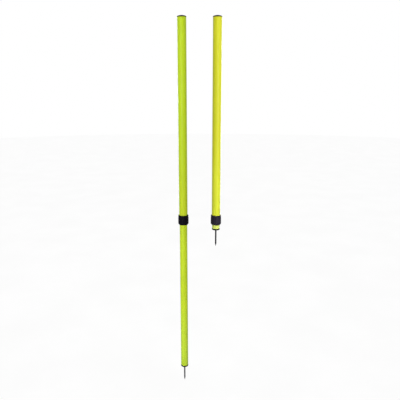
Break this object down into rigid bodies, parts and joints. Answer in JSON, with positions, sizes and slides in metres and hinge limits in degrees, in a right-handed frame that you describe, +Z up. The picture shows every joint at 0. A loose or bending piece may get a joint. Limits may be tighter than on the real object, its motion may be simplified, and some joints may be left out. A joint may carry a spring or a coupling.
{
  "type": "telescopic weave poles",
  "caption": "Telescopic agility weave poles with ground spikes, coloured tubes and black twist-lock collars that set the height.",
  "frame": {"origin": "on the lime pole's axis, in the underside of its foot flange, which is the ground line", "axes": "+Z up along the poles, +X from the lime pole to the yellow pole, +Y away from the viewer"},
  "size_m": [0.1952, 0.0472, 1.7],
  "materials": {
    "lime_tube": "satin",
    "yellow_tube": "satin",
    "black_plastic": "satin",
    "grip_plastic": "satin",
    "nylon": "matte",
    "aluminium": "satin",
    "plated_steel": "satin",
    "lime_spike": "satin",
    "yellow_spike": "satin"
  },
  "bodies": {
    "lime_lower": {"lime_lower_tube": "lime_tube", "lime_guide_bush": "nylon", "lime_stop_ring": "aluminium", "lime_stop_rivets": "aluminium", "lime_ground_plug": "black_plastic", "lime_spike": "lime_spike", "lime_spike_washer": "plated_steel", "lime_spike_nut": "plated_steel"},
    "lime_upper": {"lime_upper_tube": "lime_tube", "lime_top_cap": "black_plastic", "lime_lock_sleeve": "black_plastic"},
    "lime_ring": {"lime_clamp_ring": "nylon"},
    "lime_nut": {"lime_lock_nut": "grip_plastic"},
    "yellow_lower": {"yellow_lower_tube": "yellow_tube", "yellow_guide_bush": "nylon", "yellow_stop_ring": "aluminium", "yellow_stop_rivets": "aluminium", "yellow_ground_plug": "black_plastic", "yellow_spike": "yellow_spike", "yellow_spike_washer": "plated_steel", "yellow_spike_nut": "plated_steel"},
    "yellow_upper": {"yellow_upper_tube": "yellow_tube", "yellow_top_cap": "black_plastic", "yellow_lock_sleeve": "black_plastic"},
    "yellow_ring": {"yellow_clamp_ring": "nylon"},
    "yellow_nut": {"yellow_lock_nut": "grip_plastic"}
  },
  "joints": [
    {"name": "lime_extend", "type": "slide", "parent": "lime_lower", "child": "lime_upper", "axis": [0, 0, 1], "range_m": [-0.7, 0]},
    {"name": "lime_ring_release", "type": "slide", "parent": "lime_upper", "child": "lime_ring", "axis": [0, 0, -1], "range_m": [0, 0.002]},
    {"name": "lime_lock_turn", "type": "hinge", "parent": "lime_ring", "child": "lime_nut", "pos_m": [0, 0, 0.74], "axis": [0, 0, -1], "range_deg": [0, 180]},
    {"name": "yellow_plant", "type": "slide", "parent": "lime_lower", "child": "yellow_lower", "axis": [0, 0, 1], "range_m": [-0.7, 0]},
    {"name": "yellow_extend", "type": "slide", "parent": "yellow_lower", "child": "yellow_upper", "axis": [0, 0, 1], "range_m": [0, 0.7]},
    {"name": "yellow_ring_release", "type": "slide", "parent": "yellow_upper", "child": "yellow_ring", "axis": [0, 0, -1], "range_m": [0, 0.002]},
    {"name": "yellow_lock_turn", "type": "hinge", "parent": "yellow_ring", "child": "yellow_nut", "pos_m": [0.148, 0, 0.74], "axis": [0, 0, -1], "range_deg": [0, 180]}
  ],
  "couplings": [
    {"joint": "lime_ring_release", "follows": "lime_lock_turn", "m_per_rad": 0.00063662},
    {"joint": "yellow_ring_release", "follows": "yellow_lock_turn", "m_per_rad": 0.00063662}
  ]
}
